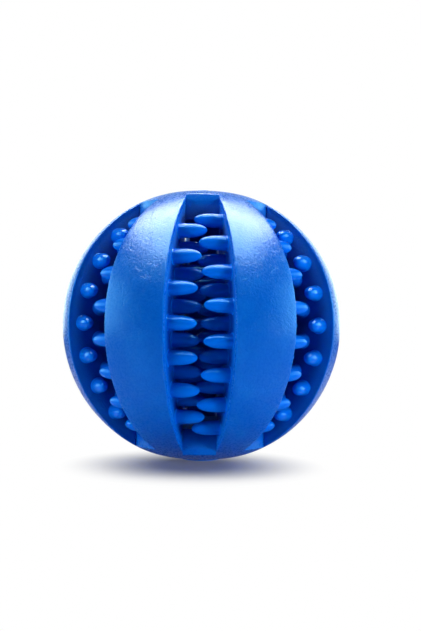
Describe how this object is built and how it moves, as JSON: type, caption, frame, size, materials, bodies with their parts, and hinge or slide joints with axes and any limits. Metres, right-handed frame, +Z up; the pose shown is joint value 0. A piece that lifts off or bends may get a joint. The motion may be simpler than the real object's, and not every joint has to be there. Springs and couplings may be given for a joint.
{
  "type": "treat dispensing ball",
  "caption": "Rubber treat ball with upright ribs between two pole caps round an open chamber, and rows of soft interlocking nubs on the walls of its slots.",
  "frame": {"origin": "centre of the flat face of the bottom pad, on which the ball rests", "axes": "+Z runs up through both poles, -Y points out of the slot that faces the viewer, +X is to the viewer's right"},
  "size_m": [0.07, 0.0691, 0.0681],
  "materials": {
    "body_rubber": "smooth moulded rubber with a soft gloss, lightly scuffed",
    "nub_rubber": "smooth glossy moulded rubber, slightly translucent"
  },
  "bodies": {
    "root": {"top_cap": "body_rubber", "bottom_cap": "body_rubber", "rib_1": "body_rubber", "rib_2": "body_rubber", "rib_3": "body_rubber", "rib_4": "body_rubber", "rib_5": "body_rubber", "rib_6": "body_rubber", "rib_7": "body_rubber", "rib_1_left_nubs": "nub_rubber", "rib_2_left_nubs": "nub_rubber", "rib_3_left_nubs": "nub_rubber", "rib_4_left_nubs": "nub_rubber", "rib_5_left_nubs": "nub_rubber", "rib_6_left_nubs": "nub_rubber", "rib_7_left_nubs": "nub_rubber", "rib_1_right_nubs": "nub_rubber", "rib_2_right_nubs": "nub_rubber", "rib_3_right_nubs": "nub_rubber", "rib_4_right_nubs": "nub_rubber", "rib_5_right_nubs": "nub_rubber", "rib_6_right_nubs": "nub_rubber", "rib_7_right_nubs": "nub_rubber"}
  },
  "joints": []
}
